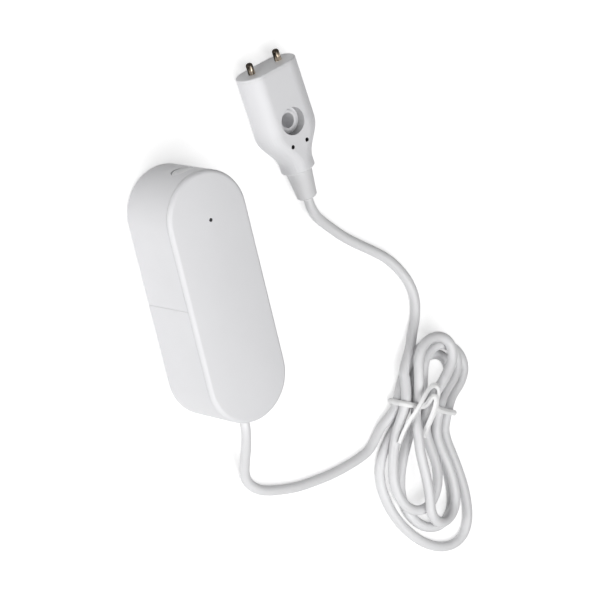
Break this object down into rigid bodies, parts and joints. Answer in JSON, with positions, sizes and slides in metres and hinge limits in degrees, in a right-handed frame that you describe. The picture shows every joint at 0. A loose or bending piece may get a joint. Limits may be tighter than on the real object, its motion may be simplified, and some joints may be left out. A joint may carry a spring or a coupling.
{
  "type": "water leak sensor",
  "caption": "Pill-shaped battery case with a crowned front, a sliding rear battery cover and an end button, wired by a hanked cord to a flat probe with a screw hole and sensing pins.",
  "frame": {"origin": "middle of the case's back face, which rests on the table or wall", "axes": "+Z from the back to the front of the case, +Y along the case to its top end, away from the cord, +X across it towards the probe"},
  "size_m": [0.1172, 0.1902, 0.0258],
  "materials": {
    "shell": "satin white moulded plastic",
    "probe_shell": "satin white moulded plastic",
    "button": "satin white moulded plastic",
    "lens": "clear light pipe",
    "emitter": "cast resin",
    "board": "solder mask on glass fibre",
    "steel": "plated steel",
    "black_plastic": "moulded plastic",
    "cell": "shrink sleeve on a steel can",
    "grommet": "matt rubber",
    "header": "moulded nylon",
    "core": "insulated copper core",
    "gold_pin": "gold plated brass",
    "relief": "soft moulded sleeve",
    "cord": "satin flexible jacket",
    "tie": "coated wire"
  },
  "bodies": {
    "case": {"front_cover": "shell", "lower_housing": "shell", "led_lens": "lens", "status_led": "emitter", "main_board": "board", "radio_module": "steel", "pairing_switch": "black_plastic", "battery_cell": "cell", "battery_holder": "black_plastic", "positive_contact": "steel", "negative_spring": "steel", "holder_screws": "steel", "housing_screws": "steel", "cable_grommet": "grommet", "cable_clamp": "shell", "clamp_screws": "steel", "wire_header": "header", "wire_leads": "core", "probe_housing": "probe_shell", "probe_end_cap": "probe_shell", "probe_pins": "gold_pin", "probe_board": "board", "probe_wires": "core", "probe_strain_relief": "relief", "cord_body_run": "cord", "cord_hank": "cord", "cord_probe_run": "cord", "cord_tie": "tie"},
    "sliding_cover": {"battery_cover": "shell"},
    "button": {"pairing_button": "button"},
    "plunger": {"switch_plunger": "button"}
  },
  "joints": [
    {"name": "cover_slide", "type": "slide", "parent": "case", "child": "sliding_cover", "axis": [0, 1, 0], "range_m": [0, 0.045]},
    {"name": "button_press", "type": "slide", "parent": "sliding_cover", "child": "button", "axis": [0, -1, 0], "range_m": [0, 0.0005], "stiffness_N_per_m": 800},
    {"name": "plunger_press", "type": "slide", "parent": "case", "child": "plunger", "axis": [0, -1, 0], "range_m": [0, 0.0005]}
  ],
  "couplings": [
    {"joint": "plunger_press", "follows": "button_press", "ratio": 1}
  ]
}
